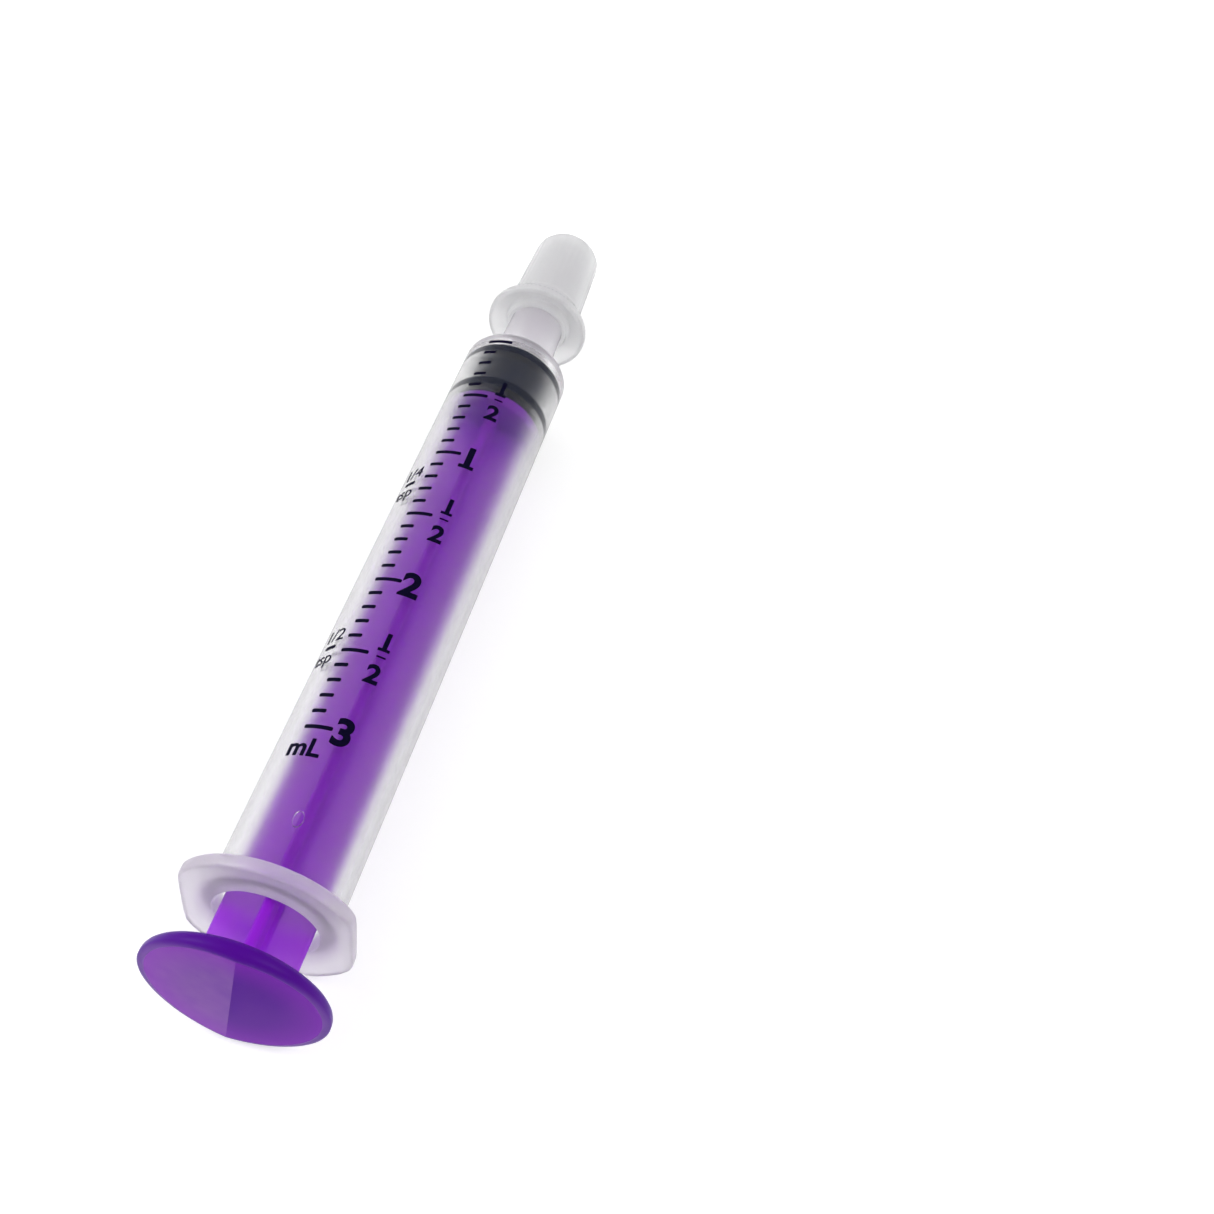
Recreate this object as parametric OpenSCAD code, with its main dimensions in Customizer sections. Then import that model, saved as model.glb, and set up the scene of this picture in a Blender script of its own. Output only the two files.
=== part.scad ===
// Oral syringe, 3 mL, lying on its side with the plunger pushed home and the tip cap on.
// Millimetres. +X runs along the barrel towards the tip, +Z is up, and the finger flange's
// long axis is vertical. The origin is the middle of the bounding box, at its lowest height.
// Inside the modules x = 0 is the zero mark, where the front seal stands when the barrel is empty.

/* [Barrel] */
// Inner diameter of the barrel
bore_d = 8.8; // [7.3:0.1:12]
// Thickness of the barrel wall
wall = 0.9; // [0.6:0.05:1.5]
// Full-scale volume in millilitres
capacity = 3; // [1:0.5:5]
// Barrel length behind the full-scale mark, up to the flange's rear face
rear_room = 15.2; // [12:0.1:25]
// Thickness of the front wall that carries the tip
front_wall = 1.6; // [1:0.1:3]
// Rounding of the front shoulder
shoulder_r = 0.9; // [0.2:0.1:1.2]

/* [Finger flange] */
// Diameter across the flange's round ends
flange_d = 15.8; // [14:0.1:26]
// Width across the flange's two flats
flange_w = 14.1; // [13:0.1:20]
// Thickness of the flange
flange_t = 1.2; // [0.8:0.1:3]
// Rounding where a flat meets a round end
flange_corner_r = 0.8; // [0.2:0.1:2]
// Fillet between flange and barrel
root_r = 0.6; // [0.2:0.1:1]

/* [Oral tip] */
// Length of the tapered tip in front of the shoulder
tip_len = 18.6; // [14:0.1:26]
// Diameter of the tip at the shoulder
tip_base_d = 6; // [5:0.1:7.5]
// Diameter of the tip at its open end
tip_end_d = 4.9; // [4:0.1:5.8]
// Diameter of the passage through the tip
passage_d = 1.7; // [1:0.1:2.5]
// Rounding of the tip's end
tip_edge_r = 0.5; // [0.1:0.1:1]
// Diameter and depth of the funnel where the bore enters the tip
funnel_d = 3.6; // [2.8:0.1:4]
funnel_len = 3; // [1:0.1:6]

/* [Stopper] */
// Length from the front seal's face to the rear face
stopper_len = 6.7; // [5.5:0.1:10]
// Axial width of each sealing ring
seal_w = 0.9; // [0.5:0.1:1.5]
// Distance between the fronts of the two sealing rings
seal_pitch = 4.9; // [3:0.1:5]
// How far the waist lies below the rings
seal_h = 0.7; // [0.3:0.05:1]
// Length of the nose that enters the tip's funnel
nose_len = 1.6; // [0.5:0.1:2]
// Radial clearance of the sealing rings in the bore
seal_gap = 0.03; // [0.01:0.01:0.1]
// Clearance between the stopper's front and the barrel's front wall
front_gap = 0.2; // [0.1:0.05:0.5]

/* [Plunger rod] */
// Width across opposite ribs
rod_w = 7.6; // [6:0.1:8.4]
// Thickness of each rib
rib_t = 1; // [0.7:0.1:1.5]
// Thickness of the guide disc behind the stopper
guide_t = 1.2; // [0.8:0.1:3]
// Radial clearance of the guide disc in the bore
guide_gap = 0.1; // [0.05:0.01:0.4]
// Diameter of the thumb disc
thumb_d = 15.35; // [12:0.1:25]
// Thickness of the thumb disc
thumb_t = 1.5; // [1:0.1:3]
// Rounding of the thumb disc's rim
thumb_edge_r = 0.6; // [0.2:0.1:0.7]
// Gap between flange and thumb disc when empty
thumb_gap = 5.2; // [2:0.1:12]
// Diameter and length of the neck that passes into the stopper
neck_d = 2.8; // [2:0.1:3.2]
neck_len = 1.5; // [1:0.1:2]
// Diameter and length of the button inside the stopper
button_d = 4.8; // [3.6:0.1:5]
button_len = 1.6; // [1:0.1:2]
// Clearance between button and stopper, in which the rod can turn
button_gap = 0.05; // [0.02:0.01:0.1]
// Rest angle of the plunger rod about its axis
rod_turn = 7; // [-180:1:180]

/* [Tip cap] */
// Length of the cap over all
cap_len = 13.4; // [10:0.1:18]
// Bare length of tip between the shoulder and the cap
cap_start = 7; // [2:0.1:9]
// Diameter of the cap's rim
cap_rim_d = 10.6; // [9:0.1:16]
// Axial height of the cap's knurled rim edge
cap_edge_t = 0.7; // [0.4:0.1:1.5]
// Axial length over which the rim sweeps in to the tube
cap_flare_len = 1.6; // [1:0.1:3]
// Diameter of the tube where it leaves the rim
cap_base_d = 7.6; // [7:0.1:9]
// Diameter of the tube at its closed end
cap_end_d = 6.9; // [6.4:0.1:8.5]
// Depth of the dish in the open side of the rim
dish_depth = 1; // [0.4:0.1:1.4]
// Width of the flat ring around the mouth
mouth_ring_w = 0.5; // [0.2:0.1:0.8]
// Radial clearance between the cap and the tip's taper
cap_gap = 0.03; // [0.01:0.01:0.1]
// Clearance between the tip's end and the closed end of the cap
cap_end_gap = 0.4; // [0.2:0.1:1]

/* [Printed scales] */
// Thickness of the ink
ink_t = 0.03; // [0.02:0.01:0.05]
// Width of a graduation line
tick_w = 0.3; // [0.15:0.05:0.5]
// Angle at which the millilitre lines begin, from the horizontal
ml_start = 59; // [40:1:80]
// Sweep of a short and of a long millilitre line
ml_short = 14.5; // [8:0.5:20]
ml_long = 27.5; // [15:0.5:30]
// Angle and sweep of the teaspoon lines
tsp_start = 35; // [10:1:40]
tsp_sweep = 14; // [5:1:20]

/* [Hidden] */
$fn = 128;
bore_r = bore_d / 2;
barrel_r = bore_r + wall;
ml_len = 1000 / (PI * bore_r * bore_r);
front_x = front_gap + front_wall;
rear_x = -capacity * ml_len - rear_room;
flange_x = rear_x + flange_t;
tip_x = front_x + tip_len;
thumb_front_x = rear_x - thumb_gap;
thumb_rear_x = thumb_front_x - thumb_t;
cap_x = front_x + cap_start;
cap_end_x = cap_x + cap_len;
axis_z = max(flange_d, thumb_d, cap_rim_d) / 2;
mid_x = (thumb_rear_x + cap_end_x) / 2;
clip = 0.5;             // how far a cutting body runs past the face it opens
ticks_per_ml = 10;
teaspoon_ml = 4.93;
ring_edge_r = 0.25;     // rounding of the sealing rings and the guide disc
funnel_lip_d = funnel_d + 0.6;

function arc(cx, cy, r, a0, a1, n = 8) =
    [for (i = [0:n]) let (a = a0 + (a1 - a0) * i / n) [cx + r * cos(a), cy + r * sin(a)]];

// Radius of the tip's taper at a place along the axis
function tip_r(x) =
    tip_base_d / 2 + (tip_end_d - tip_base_d) / 2 * (x - front_x) / tip_len;

// Puts a piece drawn about the zero mark where the frame needs it
module placed() translate([-mid_x, 0, axis_z]) children();

// Turns an outline of [radius, x] points about the syringe's axis
module lathe(points) rotate([0, 90, 0]) rotate_extrude() polygon(points);

// A band of ink on the barrel: x is its middle, a0 its start above the horizontal
module ink_band(x, a0, sweep)
    translate([x - tick_w / 2, 0, 0]) rotate([0, 90, 0])
        rotate_extrude(angle = sweep, start = a0 + 90)
            translate([barrel_r, 0]) square([ink_t, tick_w]);

module flange_corner() {
    cx = flange_w / 2 - flange_corner_r;
    cy = sqrt(pow(flange_d / 2 - flange_corner_r, 2) - cx * cx);
    reach = flange_d / 2 / (flange_d / 2 - flange_corner_r);
    difference() {
        polygon([[flange_w / 2, cy], [flange_w / 2 + 1, cy], [flange_w / 2 + 1, cy * reach + 1],
                 [cx * reach, cy * reach + 1], [cx * reach, cy * reach]]);
        translate([cx, cy]) circle(r = flange_corner_r);
    }
}

module flange_outline() rotate(90) difference() {
    intersection() {
        circle(d = flange_d);
        square([flange_w, flange_d], center = true);
    }
    for (m = [0, 1], n = [0, 1]) mirror([m, 0]) mirror([0, n]) flange_corner();
}

module barrel() color([0.88, 0.89, 0.9, 0.5]) placed() difference() {
    union() {
        lathe(concat(
            [[0, rear_x], [barrel_r, rear_x]],
            arc(barrel_r + root_r, flange_x + root_r, root_r, 270, 180),
            arc(barrel_r - shoulder_r, front_x - shoulder_r, shoulder_r, 0, 90),
            [[tip_base_d / 2, front_x]],
            arc(tip_end_d / 2 - tip_edge_r, tip_x - tip_edge_r, tip_edge_r, 0, 90),
            [[0, tip_x]]));
        translate([rear_x, 0, 0]) rotate([0, 90, 0]) linear_extrude(flange_t) flange_outline();
    }
    lathe([[0, rear_x - clip], [bore_r, rear_x - clip], [bore_r, front_gap],
           [funnel_lip_d / 2, front_gap + front_wall / 4], [funnel_d / 2, front_gap + front_wall / 2],
           [passage_d / 2, front_gap + front_wall / 2 + funnel_len],
           [passage_d / 2, tip_x + clip], [0, tip_x + clip]]);
}

module stopper() color([0.1, 0.11, 0.16]) placed() {
    seal_r = bore_r - seal_gap;
    waist_r = seal_r - seal_h;
    rear = -stopper_len;
    nose_r = funnel_d / 2 - front_gap;
    nose_end_r = passage_d / 2;
    e = ring_edge_r;
    difference() {
        lathe(concat(
            [[0, rear], [waist_r, rear], [waist_r, -seal_pitch - seal_w]],
            arc(seal_r - e, -seal_pitch - seal_w + e, e, 270, 360),
            arc(seal_r - e, -seal_pitch - e, e, 0, 90),
            [[waist_r, -seal_pitch], [waist_r, -seal_w]],
            arc(seal_r - e, -seal_w + e, e, 270, 360),
            arc(seal_r - e, -e, e, 0, 90),
            [[nose_r, front_wall / 4], [nose_end_r, nose_len], [0, nose_len]]));
        lathe([[0, rear - clip], [neck_d / 2 + button_gap, rear - clip],
               [neck_d / 2 + button_gap, rear + neck_len - button_gap],
               [button_d / 2 + button_gap, rear + neck_len - button_gap],
               [button_d / 2 + button_gap, rear + neck_len + button_len + button_gap],
               [0, rear + neck_len + button_len + button_gap]]);
    }
}

module plunger_rod() color([0.43, 0.13, 0.67]) placed() rotate([rod_turn, 0, 0]) {
    guide_r = bore_r - guide_gap;
    guide_x = -stopper_len - button_gap;
    neck_x = guide_x + neck_len;
    rib_len = guide_x - guide_t - thumb_front_x;
    e = ring_edge_r;
    lathe(concat(
        [[0, guide_x - guide_t]],
        arc(guide_r - e, guide_x - guide_t + e, e, 270, 360),
        arc(guide_r - e, guide_x - e, e, 0, 90),
        [[neck_d / 2, guide_x], [neck_d / 2, neck_x], [button_d / 2, neck_x]],
        arc(button_d / 2 - e, neck_x + button_len - e, e, 0, 90),
        [[0, neck_x + button_len]]));
    for (a = [0, 90]) rotate([a, 0, 0])
        translate([thumb_front_x, -rib_t / 2, -rod_w / 2]) cube([rib_len, rib_t, rod_w]);
    lathe(concat(
        [[0, thumb_rear_x]],
        arc(thumb_d / 2 - thumb_edge_r, thumb_rear_x + thumb_edge_r, thumb_edge_r, 270, 360),
        arc(thumb_d / 2 - thumb_edge_r, thumb_front_x - thumb_edge_r, thumb_edge_r, 0, 90),
        [[0, thumb_front_x]]));
}

module tip_cap() color([0.87, 0.87, 0.88, 0.8]) placed() {
    rim_r = cap_rim_d / 2;
    base_r = cap_base_d / 2;
    end_r = cap_end_d / 2;
    mouth_r = tip_r(cap_x) + cap_gap;
    seat_x = tip_x + cap_end_gap;
    flare_x = cap_x + cap_edge_t + cap_flare_len;
    lip_r = rim_r - mouth_ring_w;
    difference() {
        lathe(concat(
            [[0, cap_x], [rim_r - ring_edge_r, cap_x]],
            arc(rim_r - ring_edge_r, cap_x + ring_edge_r, ring_edge_r, 270, 360, 4),
            [[rim_r, cap_x + cap_edge_t], [(rim_r + base_r) / 2 + 0.3, cap_x + cap_edge_t + cap_flare_len / 2],
             [base_r, flare_x]],
            arc(0, cap_end_x - end_r, end_r, 0, 90, 16)));
        lathe([[0, cap_x - clip], [mouth_r, cap_x - clip], [mouth_r, cap_x],
               [tip_r(tip_x) + cap_gap, tip_x], [tip_r(tip_x) + cap_gap - tip_edge_r, seat_x],
               [0, seat_x]]);
        // the dish: from the rim's lip down to the ring around the mouth
        lathe([[mouth_r + mouth_ring_w, cap_x + dish_depth], [mouth_r + mouth_ring_w, cap_x - clip],
               [lip_r, cap_x - clip], [lip_r, cap_x]]);
    }
}

module ml_scale() color([0.04, 0.02, 0.16]) placed()
    for (i = [0:capacity * ticks_per_ml])
        ink_band(-i * ml_len / ticks_per_ml, ml_start,
                 i % (ticks_per_ml / 2) == 0 ? ml_long : ml_short);

module teaspoon_scale() color([0.04, 0.02, 0.16]) placed()
    for (i = [1:floor(capacity / (teaspoon_ml / 4))])
        ink_band(-i * teaspoon_ml / 4 * ml_len, tsp_start, tsp_sweep);

barrel();
stopper();
plunger_rod();
tip_cap();
ml_scale();
teaspoon_scale();
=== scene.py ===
import math

import bmesh
import bpy
from mathutils import Matrix, Quaternion, Vector


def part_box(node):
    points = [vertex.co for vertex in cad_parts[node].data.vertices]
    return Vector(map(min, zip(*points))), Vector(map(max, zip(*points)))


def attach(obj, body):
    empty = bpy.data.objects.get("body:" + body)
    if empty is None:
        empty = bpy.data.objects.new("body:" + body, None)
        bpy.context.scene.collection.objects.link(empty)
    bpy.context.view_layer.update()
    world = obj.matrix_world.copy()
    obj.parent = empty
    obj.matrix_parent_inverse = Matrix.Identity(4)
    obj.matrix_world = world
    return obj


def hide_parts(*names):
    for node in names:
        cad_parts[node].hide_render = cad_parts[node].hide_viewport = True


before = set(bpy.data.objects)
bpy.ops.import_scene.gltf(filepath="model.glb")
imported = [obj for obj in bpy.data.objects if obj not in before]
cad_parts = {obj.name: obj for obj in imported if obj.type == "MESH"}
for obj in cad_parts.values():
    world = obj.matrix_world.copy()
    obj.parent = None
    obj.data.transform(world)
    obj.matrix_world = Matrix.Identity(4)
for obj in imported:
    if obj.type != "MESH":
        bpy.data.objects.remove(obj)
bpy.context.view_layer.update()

mm = 0.001
weld = 0.002 * mm  # points nearer than this become one

# where the barrel says everything is: x counts from the zero mark, in millimetres
tickWidth = 0.3
barrelLow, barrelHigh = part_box("barrel")
axisHeight = (barrelLow.z + barrelHigh.z) / 2
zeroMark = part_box("ml_scale")[1].x - tickWidth / 2 * mm
millilitre = (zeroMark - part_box("ml_scale")[0].x - tickWidth / 2 * mm) / 3 / mm

camera = {
    "place": (-0.0920, -0.02707, 0.12066),
    "aim": (-0.00054, -0.01688, 0.0079),
    "roll": 10.99,
    "lens": 46.97,
}
look = {
    "sky": 0.60,
    "glow": 0.54,
    "keyPower": 1.7,
    "keySize": 0.30,
    "keyPlace": (-0.08, 0.42, 0.32),
    "fillPower": 0.9,
    "fillSize": 0.22,
    "fillPlace": (-0.05, -0.30, 0.40),
    "floor": (0.6, 0.6, 0.6, 1),
}


# the few moves that every piece is made with
def deselectAll():
    if bpy.context.object and bpy.context.object.mode != "OBJECT":
        bpy.ops.object.mode_set(mode="OBJECT")
    bpy.ops.object.select_all(action="DESELECT")


def editMode(piece):
    chosen(piece)
    bpy.ops.object.mode_set(mode="EDIT")
    bpy.ops.mesh.select_mode(type="VERT")


def objectMode():
    bpy.ops.object.mode_set(mode="OBJECT")


def chosen(piece):
    # the only selected object, and the active one
    deselectAll()
    bpy.context.view_layer.objects.active = piece
    piece.select_set(True)


def pick(piece, kind, test):
    shape = bmesh.from_edit_mesh(piece.data)
    bpy.ops.mesh.select_all(action="DESELECT")
    found = 0
    for element in getattr(shape, kind):
        if test(element):
            element.select_set(True)
            found += 1
    shape.select_flush_mode()
    bmesh.update_edit_mesh(piece.data)
    return found


def radiusOf(spot):
    return math.hypot(spot.y, spot.z)


cornerFineness = 5


def softened(profile):
    # rounds each corner of an (x, radius, rounding) outline
    points = []
    count = len(profile)
    for i, corner in enumerate(profile):
        here = Vector(corner[:2])
        rounding = corner[2] if len(corner) > 2 else 0
        if not rounding:
            points.append(here)
            continue
        before = Vector(profile[i - 1][:2]) - here
        after = Vector(profile[(i + 1) % count][:2]) - here
        half = before.angle(after) / 2
        reach = min(rounding / math.tan(half), before.length * 0.49, after.length * 0.49)
        bend = reach * math.tan(half)
        inward = (before.normalized() + after.normalized()).normalized()
        centre = here + inward * (bend / math.sin(half))
        start = here + before.normalized() * reach - centre
        end = here + after.normalized() * reach - centre
        turn = start.angle_signed(end)
        for k in range(cornerFineness + 1):
            spoke = start.copy()
            spoke.rotate(Matrix.Rotation(-turn * k / cornerFineness, 2))
            points.append(centre + spoke)
    return points


def turned(name, profile, steps, closed=False):
    # one point drawn along the outline, then spun about the axis
    points = softened(profile)
    if closed:
        points.append(points[0])
    deselectAll()
    bpy.ops.mesh.primitive_plane_add(size=mm, location=(0, 0, 0))
    piece = bpy.context.object
    piece.name = piece.data.name = name
    editMode(piece)
    bpy.ops.mesh.select_all(action="SELECT")
    bpy.ops.mesh.merge(type="CENTER")
    bpy.ops.transform.translate(value=(points[0].x * mm, 0, points[0].y * mm))
    for last, spot in zip(points, points[1:]):
        step = spot - last
        bpy.ops.mesh.extrude_region_move(
            TRANSFORM_OT_translate={"value": (step.x * mm, 0, step.y * mm)}
        )
    bpy.ops.mesh.select_all(action="SELECT")
    bpy.ops.mesh.remove_doubles(threshold=weld)
    bpy.ops.mesh.select_all(action="SELECT")
    bpy.ops.mesh.spin(steps=steps, angle=math.tau, center=(0, 0, 0), axis=(1, 0, 0))
    bpy.ops.mesh.select_all(action="SELECT")
    bpy.ops.mesh.remove_doubles(threshold=weld)
    bpy.ops.mesh.normals_make_consistent(inside=False)
    objectMode()
    return piece


def block(name, size, centre):
    # a box of this size in millimetres, its object at the origin
    deselectAll()
    bpy.ops.mesh.primitive_cube_add(size=mm, location=[c * mm for c in centre])
    piece = bpy.context.object
    piece.name = piece.data.name = name
    piece.scale = size
    bpy.ops.object.transform_apply(location=True, rotation=True, scale=True)
    return piece


def outward(piece):
    editMode(piece)
    bpy.ops.mesh.select_all(action="SELECT")
    bpy.ops.mesh.normals_make_consistent(inside=False)
    objectMode()


def modified(piece, kind, **settings):
    chosen(piece)
    modifier = piece.modifiers.new("step", kind)
    for name, value in settings.items():
        setattr(modifier, name, value)
    bpy.ops.object.modifier_apply(modifier="step")


def fused(piece, *others):
    for other in others:
        modified(piece, "BOOLEAN", operation="UNION", solver="EXACT", object=other)
        bpy.data.objects.remove(other)
    return piece


def joined(name, pieces):
    deselectAll()
    for piece in pieces:
        piece.select_set(True)
    bpy.context.view_layer.objects.active = pieces[0]
    bpy.ops.object.join()
    pieces[0].name = pieces[0].data.name = name
    return pieces[0]


def placed(piece, turn=0):
    # from the drawing about the zero mark to its place in the object
    chosen(piece)
    piece.rotation_euler = (math.radians(turn), 0, 0)
    piece.location = (zeroMark, 0, axisHeight)
    bpy.ops.object.transform_apply(location=True, rotation=True, scale=True)


def smooth(piece, angle):
    chosen(piece)
    bpy.ops.object.shade_smooth_by_angle(angle=math.radians(angle))


def handIn(piece, material, body, slot, *nodes):
    piece.data.materials.clear()
    piece.data.materials.append(material)
    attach(piece, body)
    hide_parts(*nodes)
    print("piece", piece.name, len(piece.data.polygons), "faces")


# shader maths
class Wire:
    def __init__(self, tree, socket=None):
        self.tree = tree
        self.socket = socket

    def node(self, kind, settings, inputs, out=0):
        made = self.tree.nodes.new(kind)
        for name, value in settings.items():
            if name == "stops":
                ramp = made.color_ramp
                while len(ramp.elements) < len(value):
                    ramp.elements.new(0.5)
                for element, (position, colour) in zip(ramp.elements, value):
                    element.position = position
                    element.color = colour
            else:
                setattr(made, name, value)
        for name, value in inputs.items():
            if isinstance(value, Wire):
                self.tree.links.new(value.socket, made.inputs[name])
            else:
                made.inputs[name].default_value = value
        return Wire(self.tree, made.outputs[out])

    def math(self, operation, first, second):
        return self.node("ShaderNodeMath", {"operation": operation}, {0: first, 1: second})

    def __add__(self, other):
        return self.math("ADD", self, other)

    def __radd__(self, other):
        return self.math("ADD", other, self)

    def __sub__(self, other):
        return self.math("SUBTRACT", self, other)

    def __rsub__(self, other):
        return self.math("SUBTRACT", other, self)

    def __mul__(self, other):
        return self.math("MULTIPLY", self, other)

    def __rmul__(self, other):
        return self.math("MULTIPLY", other, self)

    def mixed(self, first, second):
        # this value slides from the first colour to the second
        return self.node("ShaderNodeMix", {"data_type": "RGBA"}, {0: self, 6: first, 7: second}, 2)


def finish(name, **sockets):
    material = bpy.data.materials.new(name)
    material.use_nodes = True
    tree = material.node_tree
    shader = tree.nodes["Principled BSDF"]
    for socket, value in sockets.items():
        shader.inputs[socket.replace("_", " ")].default_value = value
    start = Wire(tree)
    spot = start.node("ShaderNodeTexCoord", {}, {}, 3)
    return material, shader, start, spot


def layered(start, under, share, **sockets):
    # a second plastic shader over the first, showing by this share
    over = start.tree.nodes.new("ShaderNodeBsdfPrincipled")
    for socket, value in sockets.items():
        over.inputs[socket.replace("_", " ")].default_value = value
    mix = start.node("ShaderNodeMixShader", {}, {
        0: share, 1: Wire(start.tree, under.outputs[0]), 2: Wire(start.tree, over.outputs[0]),
    })
    end = start.tree.nodes["Material Output"]
    start.tree.links.new(mix.socket, end.inputs["Surface"])
    return over


def tinted(start, colour, density):
    # light that goes through the plastic takes up its colour with depth
    absorb = start.node("ShaderNodeVolumeAbsorption", {}, {"Color": colour, "Density": density})
    start.tree.links.new(absorb.socket, start.tree.nodes["Material Output"].inputs["Volume"])


def speckle(start, spot, size, detail=3):
    # a noise whose grains are about this many millimetres across, 0 to 1
    return start.node("ShaderNodeTexNoise", {}, {
        "Vector": spot, "Scale": 1 / (size * mm), "Detail": detail,
    })


def feed(shader, **wires):
    for socket, wire in wires.items():
        wire.tree.links.new(wire.socket, shader.inputs[socket.replace("_", " ")])


def bumped(start, height, strength, distance):
    return start.node(
        "ShaderNodeBump", {}, {"Height": height, "Strength": strength, "Distance": distance * mm}
    )


def fromAxis(start, spot):
    # where a point is along the syringe, across it and above its axis, and its radius squared
    parts = start.tree.nodes.new("ShaderNodeSeparateXYZ")
    start.tree.links.new(spot.socket, parts.inputs[0])
    along, across, up = (Wire(start.tree, parts.outputs[i]) for i in range(3))
    lift = up - axisHeight
    return along, across, lift, across * across + lift * lift


def above(start, value, limit):
    # 1 where the value is over the limit, else 0
    return start.node("ShaderNodeMath", {"operation": "GREATER_THAN"}, {0: value, 1: limit})


def below(start, value, limit):
    return start.node("ShaderNodeMath", {"operation": "LESS_THAN"}, {0: value, 1: limit})


def sliding(start, value, low, high, top=1.0, kind="SMOOTHSTEP"):
    # 0 where the value is low, rising to top where it is high
    return start.node("ShaderNodeMapRange", {"interpolation_type": kind}, {
        0: value, 1: low, 2: high, 4: top,
    })


def between(start, spot, low, high):
    # 0 below the first place along the syringe, 1 above the second, in millimetres from zero
    along = start.node("ShaderNodeSeparateXYZ", {}, {0: spot}, 0)
    return sliding(start, along, zeroMark + low * mm, zeroMark + high * mm)


clearFinish = {
    "tint": (0.943, 0.943, 0.95, 1), "sheen": (0.12, 0.12, 0.14, 1), "ior": 1.49,
    "cloudSize": 6.0, "grainSize": 0.35, "flangeFrom": (-63.3, -62.4), "tipFrom": (0.0, 1.0),
    # the collar's extra milk is painted light that lightens the ring round the bore
    "paintedLightCollar": (6.4, 5.2), "flangeMilk": 0.32, "collarPaintedLight": 0.42, "tipMilk": 0.26,
    "grainMilk": 0.006,
    "rough": 0.225, "flangeRough": 0.10, "tipRough": 0.12, "grainRough": 0.04,
    # the milk is cloudy plastic; its lavender hue is the purple rod's glow painted in
    "milkTintWithRodGlow": (0.93, 0.87, 0.96, 1), "milkClear": 0.45, "milkRough": 0.5,
}


def clearPlastic():
    f = clearFinish
    material, shader, start, spot = finish(
        "clearPlastic", Base_Color=f["tint"], IOR=f["ior"], Transmission_Weight=1.0,
        Specular_Tint=f["sheen"],
    )
    cloud = speckle(start, spot, f["cloudSize"])
    grain = speckle(start, spot, f["grainSize"])
    flange = 1 - between(start, spot, *f["flangeFrom"])
    tip = between(start, spot, *f["tipFrom"])
    # round the mouth of the bore the flange is clouded most, and this extra milk is painted light:
    # it lightens the ring that the barrel wall, seen end-on, leaves grey
    outFar = fromAxis(start, spot)[3]
    outer, inner = ((radius * mm) ** 2 for radius in f["paintedLightCollar"])
    paintedLightCollar = sliding(start, outFar, outer, inner) * flange
    milk = (flange * f["flangeMilk"] + paintedLightCollar * f["collarPaintedLight"] + tip * f["tipMilk"]
            + grain * f["grainMilk"])
    # the milk layer carries the lavender hue painted as the rod's glow
    over = layered(
        start, shader, milk,
        IOR=f["ior"], Transmission_Weight=f["milkClear"], Base_Color=f["milkTintWithRodGlow"],
    )
    relief = bumped(start, cloud + grain * 0.1, 0.12, 0.05)
    rough = f["rough"] + flange * f["flangeRough"] + tip * f["tipRough"] + grain * f["grainRough"]
    feed(shader, Roughness=rough, Normal=relief)
    feed(over, Roughness=f["milkRough"] + grain * 0.1, Normal=relief)
    return material


purpleFinish = {
    "tint": (0.95, 0.80, 0.99, 1), "sheen": (0.35, 0.3, 0.4, 1), "ior": 1.45,
    "depthTint": (0.72, 0.0, 0.93, 1), "depth": 640, "rough": 0.34,
    "cloudSize": 4.0, "grainSize": 0.12, "blotchSize": 1.6, "grainRough": 0.12,
    "cover": 0.55, "coverSheen": 0.03, "coverRough": 0.24,
    "shaft": ((0.37, 0.016, 0.78, 1), (0.43, 0.024, 0.86, 1)),
    "disc": (0.10, 0.0, 0.34, 1), "discFrom": (-69.9, -69.5),
    "faceRadius": 7.05, "faceDepth": 0.6, "faceCover": 0.3, "faceRough": 0.2,
    # painted light on the pressing face: a darker half painted as shade, a lighter greyer half
    # painted as lit
    "shadedHalf": (0.085, 0.0, 0.27, 1), "shadedShare": 0.85,
    "litHalf": (0.25, 0.11, 0.39, 1), "litShare": 0.35, "blotchShare": 0.7,
    "edge": (0.27, 0.01, 0.52, 1), "edgeFrom": 0.25, "edgeShare": 0.5,
}


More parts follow.
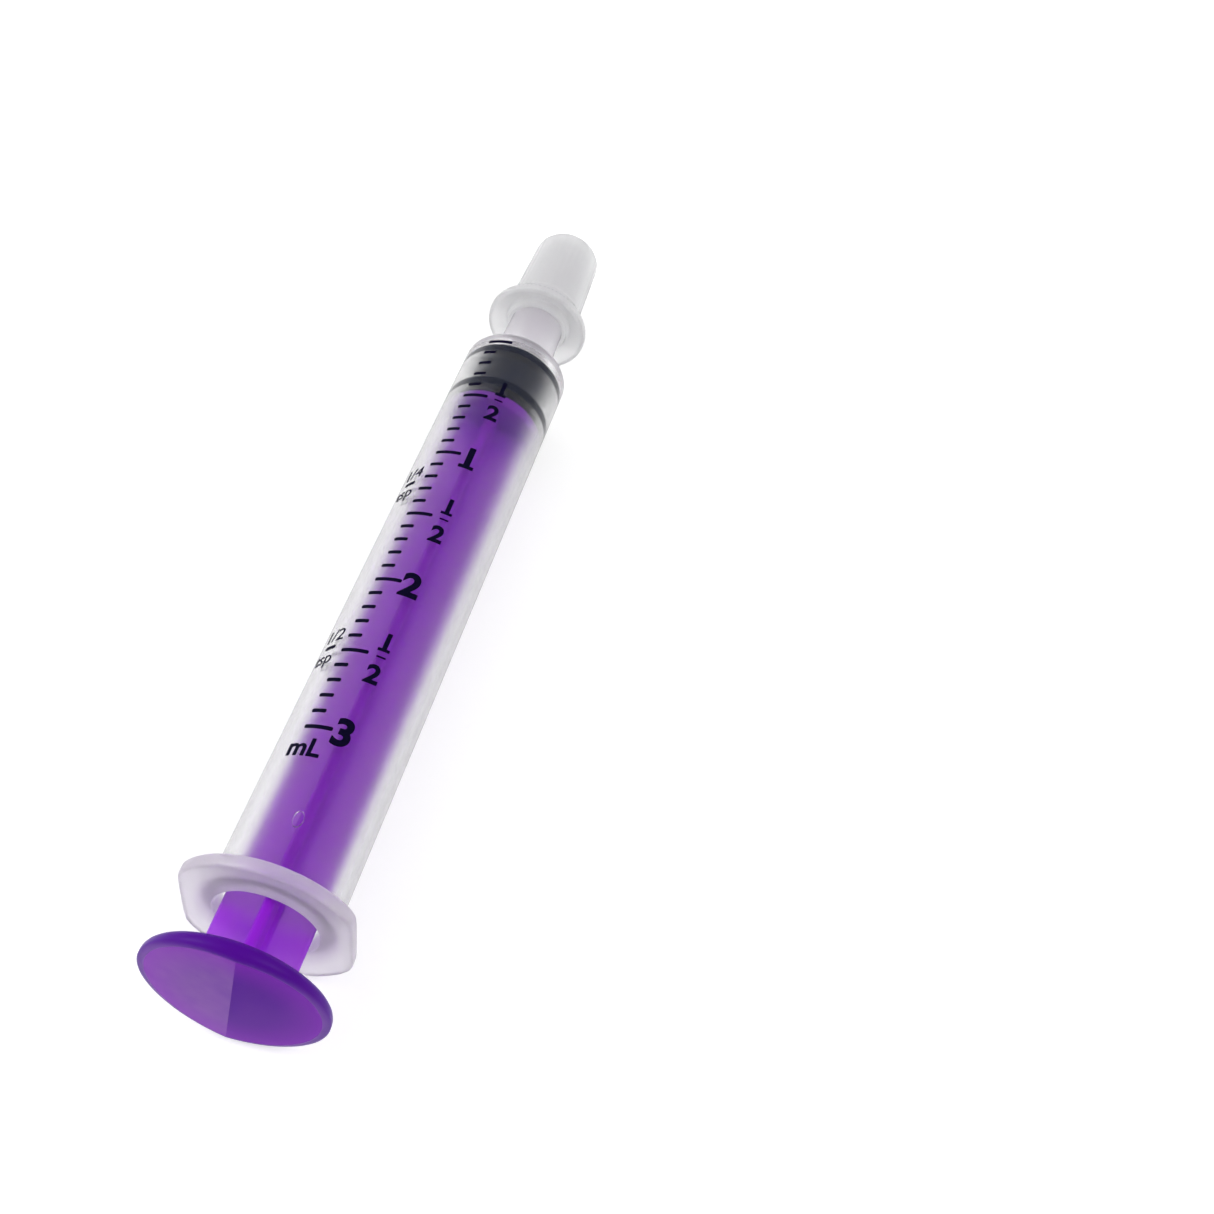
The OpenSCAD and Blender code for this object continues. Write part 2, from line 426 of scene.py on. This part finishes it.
def purplePlastic():
    f = purpleFinish
    material, shader, start, spot = finish(
        "purplePlastic", IOR=f["ior"], Transmission_Weight=1.0, Base_Color=f["tint"],
        Specular_Tint=f["sheen"],
    )
    cloud = speckle(start, spot, f["cloudSize"])
    grain = speckle(start, spot, f["grainSize"], 4)
    blotch = speckle(start, spot, f["blotchSize"])
    relief = bumped(start, grain, 0.25, 0.02)
    tinted(start, f["depthTint"], f["depth"])
    feed(shader, Roughness=f["rough"] + grain * f["grainRough"], Normal=relief)
    # the pressing face: painted light, one half of the roof is painted lighter and greyer as if
    # lit, the other half darker as if in shade; the whole face is made rougher
    along, across, lift, outFar = fromAxis(start, spot)
    lean = math.radians(rod["turn"])
    side = across * math.cos(lean) + lift * math.sin(lean)
    faceOut = outFar * (1 / (f["faceRadius"] * mm) ** 2)
    faceFront = zeroMark + (rod["thumbRear"] + f["faceDepth"]) * mm
    onFace = below(start, along, faceFront) * below(start, faceOut, 1.0)
    litSideMask = onFace * above(start, side, 0.0)
    shadedHalf = onFace - litSideMask
    over = layered(
        start, shader, f["cover"] + onFace * f["faceCover"],
        IOR=f["ior"], Specular_IOR_Level=f["coverSheen"],
    )
    colour = between(start, spot, *f["discFrom"]).mixed(f["disc"], cloud.mixed(*f["shaft"]))
    # painted shade on one half of the face, painted light with blotches on the other
    colour = (shadedHalf * f["shadedShare"]).mixed(colour, f["shadedHalf"])
    colour = (litSideMask * (f["litShare"] + blotch * f["blotchShare"])).mixed(colour, f["litHalf"])
    rimward = sliding(start, faceOut, f["edgeFrom"], 1.0, f["edgeShare"], "LINEAR")
    colour = (rimward * onFace).mixed(colour, f["edge"])
    rough = f["coverRough"] + grain * f["grainRough"] + onFace * f["faceRough"]
    feed(over, Base_Color=colour, Roughness=rough, Normal=relief)
    return material


rubberFinish = {
    "dark": (0.001, 0.005, 0.022, 1), "light": (0.004, 0.009, 0.036, 1), "sheen": 0.15,
    "rough": 0.42, "grainRough": 0.15, "cloudSize": 2.0, "grainSize": 0.1,
}


def blackRubber():
    f = rubberFinish
    material, shader, start, spot = finish(
        "blackRubber", IOR=1.5, Specular_IOR_Level=f["sheen"],
    )
    cloud = speckle(start, spot, f["cloudSize"])
    grain = speckle(start, spot, f["grainSize"], 4)
    feed(
        shader,
        Base_Color=cloud.mixed(f["dark"], f["light"]),
        Roughness=f["rough"] + grain * f["grainRough"],
        Normal=bumped(start, grain, 0.25, 0.02),
    )
    return material


frostedFinish = {
    "tint": (0.965, 0.965, 0.97, 1), "sheen": (0.6, 0.6, 0.6, 1), "ior": 1.49, "rough": 0.46,
    "milk": 0.34, "cloudMilk": 0.1, "milkClear": 0.4, "milkRough": 0.45, "cloudSize": 3.0,
    "grainSize": 0.15, "milkDark": (0.91, 0.91, 0.92, 1), "milkLight": (0.95, 0.95, 0.96, 1),
}


def frostedPlastic():
    f = frostedFinish
    material, shader, start, spot = finish(
        "frostedPlastic", IOR=f["ior"], Transmission_Weight=1.0, Base_Color=f["tint"],
        Specular_Tint=f["sheen"],
    )
    cloud = speckle(start, spot, f["cloudSize"])
    grain = speckle(start, spot, f["grainSize"], 4)
    relief = bumped(start, grain, 0.2, 0.02)
    over = layered(
        start, shader, f["milk"] + cloud * f["cloudMilk"],
        IOR=f["ior"], Transmission_Weight=f["milkClear"],
    )
    feed(shader, Roughness=f["rough"] + grain * 0.1, Normal=relief)
    feed(
        over,
        Base_Color=cloud.mixed(f["milkDark"], f["milkLight"]),
        Roughness=f["milkRough"] + grain * 0.14,
        Normal=relief,
    )
    return material


inkFinish = {
    "dark": (0.0003, 0.0, 0.006, 1), "light": (0.002, 0.001, 0.018, 1), "sheen": 0.05,
    "rough": 0.55, "wearRough": 0.2, "wearSize": 0.25,
}


def navyInk():
    f = inkFinish
    material, shader, start, spot = finish("navyInk", IOR=1.45, Specular_IOR_Level=f["sheen"])
    wear = speckle(start, spot, f["wearSize"], 4)
    feed(
        shader,
        Base_Color=wear.mixed(f["dark"], f["light"]),
        Roughness=f["rough"] + wear * f["wearRough"],
        Normal=bumped(start, wear, 0.3, 0.01),
    )
    return material


# barrel, finger flange and tip in one moulding: lengths from the zero mark
barrel = {
    "outer": 5.3, "bore": 4.4, "rear": -64.525, "flangeFront": -63.325,
    "discRadius": 7.9, "flat": 7.05, "front": 1.8, "tipBase": 3.0,
    "tipEnd": 2.45, "tipX": 20.4, "passage": 0.85, "steps": 144,
    "gate": (-58.0, 92.3), "gateSize": (1.45, 0.85, 0.26), "gateRing": 0.13, "gateDent": 0.07,
    "rimFrom": 7.2, "cornerSharpness": 40, "boreFront": 0.2, "funnelLip": (0.6, 2.1),
    "funnel": (1.0, 1.8), "passageRear": 4.0,
}


def makeBarrel():
    b = barrel
    piece = turned("barrelBody", [
        (b["rear"], b["bore"], 0.15),
        (b["rear"], b["discRadius"], 0.3),
        (b["flangeFront"], b["discRadius"], 0.3),
        (b["flangeFront"], b["outer"], 0.6),
        (b["front"], b["outer"], 0.9),
        (b["front"], b["tipBase"], 0.35),
        (b["tipX"], b["tipEnd"], 0.5),
        (b["tipX"], b["passage"], 0.12),
        (b["passageRear"], b["passage"], 1.5),
        (*b["funnel"], 0.4),
        (*b["funnelLip"], 0.4),
        (b["boreFront"], b["bore"], 0.25),
    ], b["steps"], closed=True)
    # the rim is drawn in to the two flats, a pair of columns at a time
    editMode(piece)
    for k in range(b["steps"] // 4 + 1):
        angle = math.tau * k / b["steps"]
        limit = b["flat"] / (b["discRadius"] * max(math.cos(angle), 1e-6))
        # the lesser of limit and 1, with the corner between them rounded
        sharp = b["cornerSharpness"]
        drawn = -math.log(math.exp(-sharp * min(limit, 2)) + math.exp(-sharp)) / sharp
        if drawn > 0.9999:
            continue

        def onColumn(v, angle=angle):
            spot = v.co / mm
            away = math.atan2(abs(spot.z), abs(spot.y))
            onRim = spot.x < b["flangeFront"] + 0.01 and radiusOf(spot) > b["rimFrom"]
            return onRim and abs(away - angle) < 0.01
        if pick(piece, "verts", onColumn):
            bpy.ops.transform.resize(value=(1, drawn, 1), center_override=(0, 0, 0))
    outward(piece)
    # the gate mark where the plastic came in: a low oval button with a dent
    deselectAll()
    bpy.ops.mesh.primitive_cylinder_add(vertices=24, radius=mm / 2, depth=mm)
    gate = bpy.context.object
    gate.scale = b["gateSize"]
    bpy.ops.object.transform_apply(location=True, rotation=True, scale=True)
    editMode(gate)
    bpy.ops.mesh.select_mode(type="FACE")
    pick(gate, "faces", lambda f: f.normal.z > 0.9)
    bpy.ops.mesh.inset(thickness=b["gateRing"] * mm)
    bpy.ops.transform.translate(value=(0, 0, -b["gateDent"] * mm))
    objectMode()
    gateX, gateAngle = b["gate"]
    lean = math.radians(gateAngle)
    gate.location = (gateX * mm, b["outer"] * math.cos(lean) * mm, b["outer"] * math.sin(lean) * mm)
    gate.rotation_euler = (lean - math.pi / 2, 0, 0)
    bpy.ops.object.transform_apply(location=True, rotation=True, scale=True)
    fused(piece, gate)
    placed(piece)
    smooth(piece, 40)
    return piece


# rubber stopper: its rings press into the bore wall by a hair
stopper = {
    "ring": 4.45, "waist": 3.67, "noseEnd": (1.6, 0.85), "noseRoot": (0.4, 1.6), "rear": -6.7,
    "frontSeal": (0.05, -0.85), "rearSeal": (-4.85, -5.9), "waistEnds": (-0.9, -4.9, -5.85),
    "neck": 1.45, "socket": 2.45, "socketRear": -5.25, "socketFront": -3.55, "steps": 128,
}


def makeStopper():
    s = stopper
    piece = turned("stopperBody", [
        (s["noseEnd"][0], 0), (*s["noseEnd"], 0.3), (*s["noseRoot"], 0.4),
        (s["frontSeal"][0], s["ring"], 0.12), (s["frontSeal"][1], s["ring"], 0.12),
        (s["waistEnds"][0], s["waist"], 0.3), (s["waistEnds"][1], s["waist"], 0.3),
        (s["rearSeal"][0], s["ring"], 0.12), (s["rearSeal"][1], s["ring"], 0.12),
        (s["waistEnds"][2], s["waist"], 0.2), (s["rear"], s["waist"], 0.2),
        (s["rear"], s["neck"], 0.1), (s["socketRear"], s["neck"]),
        (s["socketRear"], s["socket"]), (s["socketFront"], s["socket"]), (s["socketFront"], 0),
    ], s["steps"])
    placed(piece)
    smooth(piece, 40)
    return piece


# plunger rod
rod = {
    "guide": 4.3, "ribReach": 3.8, "ribThick": 1.0, "edge": 0.28, "web": 0.35,
    "thumbFront": -69.725, "thumbRear": -71.225, "thumb": 7.675, "turn": 7, "steps": 128,
    "roof": 3.6, "thumbEdge": 0.62, "guideRear": -7.95, "guideFront": -6.75, "neck": 1.4,
    "neckFront": -5.25, "button": 2.4, "buttonFront": -3.65, "draft": 0.86,
}


def makeRod():
    r = rod
    front = turned("rodFront", [
        (r["guideRear"], 0), (r["guideRear"], r["guide"], 0.3),
        (r["guideFront"], r["guide"], 0.3), (r["guideFront"], r["neck"], 0.1),
        (r["neckFront"], r["neck"]), (r["neckFront"], r["button"], 0.15),
        (r["buttonFront"], r["button"], 0.3), (r["buttonFront"], 0),
    ], r["steps"])
    disc = turned("thumbDisc", [
        (r["thumbRear"], 0), (r["thumbRear"], r["thumb"], r["thumbEdge"]),
        (r["thumbFront"], r["thumb"], r["thumbEdge"]), (r["thumbFront"], 0),
    ], r["steps"])
    # a low roof on the pressing face, its ridge along the upright rib
    for v in disc.data.vertices:
        depth = v.co.x / mm - r["thumbRear"]
        if depth < r["thumbEdge"]:
            v.co.x += abs(v.co.y) * math.tan(math.radians(r["roof"])) * (1 - depth / r["thumbEdge"])
    # ribs: a square core, then one rib pulled out of each side
    startX, endX = r["thumbFront"] - 0.4, r["guideRear"] + 0.35
    core = (endX - startX, r["ribThick"], r["ribThick"])
    ribs = block("rodRibs", core, ((startX + endX) / 2, 0, 0))
    editMode(ribs)
    reach = r["ribReach"] - r["ribThick"] / 2
    for axis in (1, 2):
        for side in (1, -1):
            def faces(f, axis=axis, side=side):
                middle = f.calc_center_median()
                return f.normal[axis] * side > 0.9 and abs(middle[3 - axis]) < 0.01 * mm
            pick(ribs, "faces", faces)
            out = [0, 0, 0]
            out[axis] = side * reach * mm
            bpy.ops.mesh.extrude_region_move(TRANSFORM_OT_translate={"value": out})
            draft = [1, 1, 1]
            draft[3 - axis] = r["draft"]
            bpy.ops.transform.resize(value=draft)
    bpy.ops.mesh.select_mode(type="EDGE")

    def along(e):
        a, b = (v.co / mm for v in e.verts)
        return abs(a.x - b.x) > 1 and abs(radiusOf(a) - radiusOf(b)) < 0.01
    pick(ribs, "edges", lambda e: along(e) and radiusOf(e.verts[0].co / mm) < 1)
    bpy.ops.mesh.bevel(offset=r["web"] * mm, segments=3, affect="EDGES")
    pick(ribs, "edges", lambda e: along(e) and radiusOf(e.verts[0].co / mm) > 3)
    bpy.ops.mesh.bevel(offset=r["edge"] * mm, segments=3, affect="EDGES")
    bpy.ops.mesh.select_all(action="SELECT")
    bpy.ops.mesh.normals_make_consistent(inside=False)
    objectMode()
    piece = fused(disc, ribs, front)
    piece.name = piece.data.name = "plungerRod"
    # the roof's ridge stays crisp
    editMode(piece)
    bpy.ops.mesh.select_mode(type="EDGE")
    pick(piece, "edges", lambda e: all(
        abs(v.co.y) < 0.01 * mm and v.co.x / mm < r["thumbRear"] + 0.02 for v in e.verts))
    bpy.ops.mesh.mark_sharp()
    objectMode()
    placed(piece, r["turn"])
    smooth(piece, 32)
    return piece


# tip cap
cap = {
    "mouth": 8.8, "end": 22.2, "rim": 5.3, "base": 3.8, "closed": 3.45,
    "steps": 144, "tooth": 0.985, "flute": 0.991, "endRounding": 2.7, "tube": 3.0,
    "flare": (1.35, 4.75), "rimHeight": 0.75, "lip": 4.85, "dish": (0.95, 3.45),
    "mouthRing": (0.45, 3.25, 3.2), "mouthHole": 2.823, "seat": (20.4, 2.48),
    "seatEnd": (20.8, 1.98),
}


def makeCap():
    c = cap
    x = c["mouth"]
    piece = turned("tipCap", [
        (c["end"], 0), (c["end"], c["closed"], c["endRounding"]), (x + c["tube"], c["base"], 1.9),
        (x + c["flare"][0], c["flare"][1], 0.9), (x + c["rimHeight"], c["rim"], 0.22),
        (x, c["rim"], 0.2), (x, c["lip"], 0.12), (x + c["dish"][0], c["dish"][1], 0.15),
        (x + c["mouthRing"][0], c["mouthRing"][1], 0.15), (x, c["mouthRing"][2], 0.1),
        (x, c["mouthHole"], 0.08), (*c["seat"], 0.3), (*c["seatEnd"], 0.2), (c["seatEnd"][0], 0),
    ], c["steps"])
    # teeth round the rim and flutes down the tube: every so many columns go in
    editMode(piece)

    def column(v):
        return round(math.atan2(v.co.z, v.co.y) / math.tau * c["steps"]) % c["steps"]
    pick(piece, "verts", lambda v: radiusOf(v.co / mm) > 5.15 and column(v) % 2)
    bpy.ops.transform.resize(value=(1, c["tooth"], c["tooth"]), center_override=(0, 0, 0))
    pick(piece, "verts", lambda v: v.co.x / mm > x + 2.2 and v.co.x / mm < 21
         and radiusOf(v.co / mm) > 3.3 and column(v) % 4 == 0)
    bpy.ops.transform.resize(value=(1, c["flute"], c["flute"]), center_override=(0, 0, 0))
    bpy.ops.mesh.select_all(action="SELECT")
    bpy.ops.mesh.normals_make_consistent(inside=False)
    objectMode()
    placed(piece)
    smooth(piece, 50)
    return piece


# printed scales
ink = {
    "width": 0.37, "barWidth": 0.15,
    "radius": 5.3, "low": 0.02, "high": 0.03, "lineStart": 59.2, "short": 14.4, "long": 27.5,
    "spoonStart": 35, "spoonSweep": 14, "teaspoon": 4.93, "stripSweep": 2.5, "stripWidth": 0.33,
    "capitalHeight": 0.73,
}


def inkLine(sweep, start, width):
    # one band of ink at the zero mark, swept round the barrel
    thick = ink["low"] + ink["high"]
    middle = ink["radius"] + (ink["high"] - ink["low"]) / 2
    length = math.radians(sweep) * middle
    piece = block("inkLine", (width, thick, length), (0, middle, 0))
    editMode(piece)
    bpy.ops.mesh.select_mode(type="EDGE")
    pick(piece, "edges", lambda e: abs(e.verts[0].co.y - e.verts[1].co.y) > thick * 0.5 * mm)
    bpy.ops.mesh.bevel(offset=width * 0.3 * mm, segments=2, affect="EDGES")
    strips = max(4, round(sweep / ink["stripSweep"]))
    for k in range(1, strips):
        bpy.ops.mesh.select_all(action="SELECT")
        bpy.ops.mesh.bisect(
            plane_co=(0, 0, (k / strips - 0.5) * length * mm), plane_no=(0, 0, 1)
        )
    objectMode()
    for v in piece.data.vertices:
        # z runs round the barrel, y stands off it
        angle = math.radians(start) + math.radians(sweep) * (v.co.z / mm / length + 0.5)
        radius = v.co.y
        v.co = (v.co.x, radius * math.cos(angle), radius * math.sin(angle))
    outward(piece)
    return piece


def copied(piece, x):
    chosen(piece)
    bpy.ops.object.duplicate(linked=False)
    twin = bpy.context.object
    twin.location.x = x * mm
    bpy.ops.object.transform_apply(location=True, rotation=False, scale=False)
    return twin


def inkText(words, height, x, angle, bold=0.0):
    deselectAll()
    bpy.ops.object.text_add(location=(0, 0, 0))
    text = bpy.context.object
    text.data.body = words
    text.data.align_x = "CENTER"
    text.data.size = height / ink["capitalHeight"] * mm
    text.data.offset = bold * mm
    text.data.extrude = (ink["low"] + ink["high"]) / 2 * mm
    text.data.resolution_u = 6
    bpy.ops.object.convert(target="MESH")
    piece = bpy.context.object
    editMode(piece)
    bpy.ops.mesh.select_all(action="SELECT")
    bpy.ops.mesh.remove_doubles(threshold=weld)
    bpy.ops.mesh.normals_make_consistent(inside=False)
    objectMode()
    if words == "1":
        # the figure one stands on a foot
        low = min(v.co.y for v in piece.data.vertices)
        stem = [v.co.x for v in piece.data.vertices if v.co.y < low + 0.1 * mm]
        foot = block(
            "foot", (height * 0.56, height * 0.15, ink["low"] + ink["high"] + 0.004),
            ((min(stem) + max(stem)) / 2 / mm, low / mm + height * 0.075, 0),
        )
        fused(piece, foot)
    editMode(piece)
    wide = max(abs(v.co.x) for v in piece.data.vertices) / mm
    cut = -wide + 0.1
    while cut < wide:
        bpy.ops.mesh.select_all(action="SELECT")
        bpy.ops.mesh.bisect(plane_co=(cut * mm, 0, 0), plane_no=(1, 0, 0))
        cut += ink["stripWidth"]
    objectMode()
    middle = ink["radius"] + (ink["high"] - ink["low"]) / 2
    tall = [v.co.y for v in piece.data.vertices]
    base = (min(tall) + max(tall)) / 2
    for v in piece.data.vertices:
        turn = math.radians(angle) + v.co.x / (middle * mm)
        out = middle * mm + v.co.z
        v.co = (x * mm + v.co.y - base, out * math.cos(turn), out * math.sin(turn))
    outward(piece)
    return piece


def makeMlScale():
    parts = []
    shortLine = inkLine(ink["short"], ink["lineStart"], ink["width"])
    longLine = inkLine(ink["long"], ink["lineStart"], ink["width"])
    for i in range(31):
        parts.append(copied(longLine if i % 5 == 0 else shortLine, -i * millilitre / 10))
    bpy.data.objects.remove(shortLine)
    bpy.data.objects.remove(longLine)
    for words, x in (("1", -16.7), ("2", -33.0), ("3", -49.35)):
        parts.append(inkText(words, 2.6, x, 96.5, 0.13))
    for whole in (0, 1, 2):
        middle = -(whole + 0.5) * millilitre
        parts.append(inkText("1", 1.9, middle + 1.5, 98.5, 0.08))
        parts.append(inkText("2", 1.9, middle - 1.95, 98.5, 0.08))
        bar = inkLine(9, 94.5, ink["barWidth"])
        parts.append(copied(bar, middle - 0.1))
        bpy.data.objects.remove(bar)
    parts.append(inkText("mL", 1.75, -51.4, 68.5, 0.06))
    piece = joined("mlScale", parts)
    placed(piece)
    smooth(piece, 30)
    return piece


def makeTeaspoonScale():
    parts = []
    line = inkLine(ink["spoonSweep"], ink["spoonStart"], ink["width"])
    for i, words in ((1, "1/4"), (2, "1/2")):
        x = -i * ink["teaspoon"] / 4 * millilitre
        parts.append(copied(line, x))
        parts.append(inkText(words, 1.4, x + 1.4, 41))
        parts.append(inkText("tsp", 1.4, x - 1.5, 39))
    bpy.data.objects.remove(line)
    piece = joined("teaspoonScale", parts)
    placed(piece)
    smooth(piece, 30)
    return piece


# camera, floor and light
def makeRoom():
    place, aim = Vector(camera["place"]), Vector(camera["aim"])
    bpy.ops.object.camera_add(location=place)
    eye = bpy.context.object
    eye.name = "camera"
    eye.rotation_mode = "QUATERNION"
    level = (aim - place).to_track_quat("-Z", "Y")
    eye.rotation_quaternion = level @ Quaternion((0, 0, 1), math.radians(camera["roll"]))
    eye.data.lens = camera["lens"]
    eye.data.clip_start = 0.005
    bpy.context.scene.camera = eye

    # the syringe lies on its flange and the cap's rim, so the floor leans a little
    flangeX = barrelLow.x + 0.6 * mm
    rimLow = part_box("tip_cap")[0]
    rimX = rimLow.x + 0.35 * mm
    lean = math.atan2(rimLow.z - barrelLow.z, rimX - flangeX)
    bpy.ops.mesh.primitive_plane_add(size=4, location=(flangeX, 0, barrelLow.z - 0.02 * mm),
                                     rotation=(0, -lean, 0))
    floor = bpy.context.object
    floor.name = "floor"
    material, shader, start, spot = finish(
        "paleFloor", Base_Color=look["floor"], Roughness=0.7, Specular_IOR_Level=0.1,
        Emission_Color=(1, 1, 1, 1), Emission_Strength=look["glow"],
    )
    floor.data.materials.append(material)

    for name, power, size, at in (
        ("keyLight", look["keyPower"], look["keySize"], look["keyPlace"]),
        ("fillLight", look["fillPower"], look["fillSize"], look["fillPlace"]),
    ):
        bpy.ops.object.light_add(type="AREA", location=at)
        lamp = bpy.context.object
        lamp.name = name
        lamp.data.shape = "DISK"
        lamp.data.size = size
        lamp.data.energy = power
        lamp.rotation_euler = (-Vector(at)).to_track_quat("-Z", "Y").to_euler()

    world = bpy.data.worlds.new("paleRoom")
    world.use_nodes = True
    world.node_tree.nodes["Background"].inputs["Color"].default_value = (1, 1, 1, 1)
    world.node_tree.nodes["Background"].inputs["Strength"].default_value = look["sky"]
    bpy.context.scene.world = world
    bpy.context.scene.view_settings.view_transform = "Standard"
    bpy.context.scene.cycles.max_bounces = 24
    bpy.context.scene.cycles.transmission_bounces = 24


makeRoom()
print("room ready")
handIn(makeBarrel(), clearPlastic(), "barrel_body", "clear_plastic", "barrel")
handIn(makeStopper(), blackRubber(), "stopper_body", "black_rubber", "stopper")
handIn(makeRod(), purplePlastic(), "plunger_body", "purple_plastic", "plunger_rod")
handIn(makeCap(), frostedPlastic(), "cap_body", "frosted_plastic", "tip_cap")
scaleInk = navyInk()
handIn(makeMlScale(), scaleInk, "barrel_body", "navy_ink", "ml_scale")
handIn(makeTeaspoonScale(), scaleInk, "barrel_body", "navy_ink", "teaspoon_scale")
